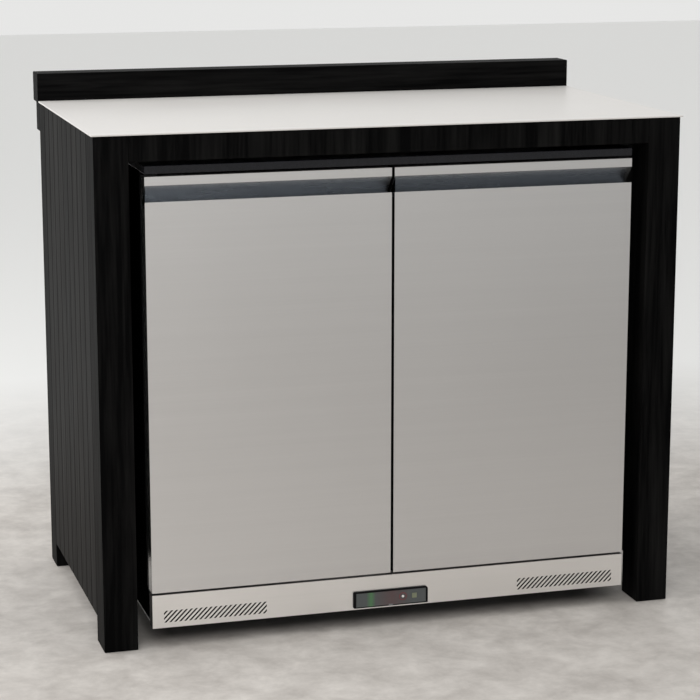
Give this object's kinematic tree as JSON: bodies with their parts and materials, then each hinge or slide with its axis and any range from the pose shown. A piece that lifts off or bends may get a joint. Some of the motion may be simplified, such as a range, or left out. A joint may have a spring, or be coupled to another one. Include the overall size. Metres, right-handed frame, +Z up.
{
  "type": "undercounter refrigerator",
  "caption": "Two-door stainless undercounter refrigerator with handle recesses and a vented plinth, standing in a black timber counter with a white worktop and a rear upstand.",
  "frame": {"origin": "bottom centre of the whole unit's bounding box, on the floor", "axes": "+X along the width to the right seen from the front, -Y out of the front of the doors, +Z up"},
  "size_m": [1.076, 0.623, 0.962],
  "materials": {
    "black_stained_wood": "black-stained open-grain softwood, satin",
    "side_wood": "grey-brown stained boards, matt",
    "white_laminate": "warm white, satin",
    "stainless": "fine brushed",
    "black_gloss": "gloss black",
    "black_coat": "satin black powder coat",
    "foam": "rigid foam",
    "white_liner": "smooth white",
    "black_rubber": "matt",
    "galvanised": "zinc plated",
    "black_plastic": "moulded, satin",
    "white_wire": "plastic-coated wire",
    "aluminium_fins": "mill",
    "dark_lens": "tinted",
    "white_key": "moulded",
    "olive_key": "moulded"
  },
  "bodies": {
    "cabinet_and_counter": {"apron": "black_stained_wood", "base_pan": "galvanised", "cabin_liner": "white_liner", "cabinet_casing": "black_coat", "cabinet_insulation": "foam", "centre_mullion": "black_plastic", "compressor": "black_coat", "compressor_mount": "black_rubber", "condenser_coil": "aluminium_fins", "controller_housing": "black_plastic", "deck_board": "side_wood", "display_lens": "dark_lens", "evaporator_coil": "aluminium_fins", "evaporator_cover": "white_liner", "fan_shroud": "galvanised", "front_frame": "black_coat", "front_left_leg": "black_stained_wood", "front_left_pilaster": "galvanised", "front_right_leg": "black_stained_wood", "front_right_pilaster": "galvanised", "left_bottom_hinge": "black_coat", "left_side_boards": "side_wood", "left_top_hinge": "black_coat", "left_top_rail": "side_wood", "lower_shelf": "white_wire", "plinth_panel": "stainless", "rear_grille": "black_coat", "rear_left_leg": "side_wood", "rear_left_pilaster": "galvanised", "rear_rail": "side_wood", "rear_right_leg": "side_wood", "rear_right_pilaster": "galvanised", "right_bottom_hinge": "black_coat", "right_side_boards": "side_wood", "right_top_hinge": "black_coat", "right_top_rail": "side_wood", "top_panel": "black_gloss", "upper_shelf": "white_wire", "upstand": "black_stained_wood", "worktop": "white_laminate"},
    "left_door": {"left_door_skin": "stainless", "left_door_core": "foam", "left_door_inner_panel": "white_liner", "left_door_gasket": "black_rubber", "left_top_bush": "black_plastic", "left_bottom_bush": "black_plastic"},
    "right_door": {"right_door_skin": "stainless", "right_door_core": "foam", "right_door_inner_panel": "white_liner", "right_door_gasket": "black_rubber", "right_top_bush": "black_plastic", "right_bottom_bush": "black_plastic"},
    "evaporator_fan_rotor": {"evaporator_fan": "black_plastic"},
    "condenser_fan_rotor": {"condenser_fan": "black_plastic"},
    "power_key_cap": {"power_key": "white_key"},
    "set_key_cap": {"set_key": "olive_key"},
    "foot_front_left": {"front_left_foot": "black_plastic"},
    "foot_front_right": {"front_right_foot": "black_plastic"},
    "foot_rear_left": {"rear_left_foot": "black_plastic"},
    "foot_rear_right": {"rear_right_foot": "black_plastic"}
  },
  "joints": [
    {"name": "left_door_hinge", "type": "hinge", "parent": "cabinet_and_counter", "child": "left_door", "pos_m": [-0.433, -0.2765, 0.466], "axis": [0, 0, -1], "range_deg": [0, 100], "stiffness_Nm_per_rad": 0.6, "springref_deg": -34.38},
    {"name": "right_door_hinge", "type": "hinge", "parent": "cabinet_and_counter", "child": "right_door", "pos_m": [0.433, -0.2765, 0.466], "axis": [0, 0, 1], "range_deg": [0, 100], "stiffness_Nm_per_rad": 0.6, "springref_deg": -34.38},
    {"name": "evaporator_fan_spin", "type": "hinge", "parent": "cabinet_and_counter", "child": "evaporator_fan_rotor", "pos_m": [0, 0.1205, 0.69], "axis": [0, 1, 0], "continuous": true},
    {"name": "condenser_fan_spin", "type": "hinge", "parent": "cabinet_and_counter", "child": "condenser_fan_rotor", "pos_m": [-0.22, 0.0925, 0.1463], "axis": [0, 1, 0], "continuous": true},
    {"name": "power_key_press", "type": "slide", "parent": "cabinet_and_counter", "child": "power_key_cap", "axis": [0, 1, 0], "range_m": [0, 0.0008], "stiffness_N_per_m": 400},
    {"name": "set_key_press", "type": "slide", "parent": "cabinet_and_counter", "child": "set_key_cap", "axis": [0, 1, 0], "range_m": [0, 0.0008], "stiffness_N_per_m": 400},
    {"name": "front_left_foot_screw", "type": "slide", "parent": "cabinet_and_counter", "child": "foot_front_left", "axis": [0, 0, -1], "range_m": [0, 0.012]},
    {"name": "front_right_foot_screw", "type": "slide", "parent": "cabinet_and_counter", "child": "foot_front_right", "axis": [0, 0, -1], "range_m": [0, 0.012]},
    {"name": "rear_left_foot_screw", "type": "slide", "parent": "cabinet_and_counter", "child": "foot_rear_left", "axis": [0, 0, -1], "range_m": [0, 0.012]},
    {"name": "rear_right_foot_screw", "type": "slide", "parent": "cabinet_and_counter", "child": "foot_rear_right", "axis": [0, 0, -1], "range_m": [0, 0.012]}
  ]
}
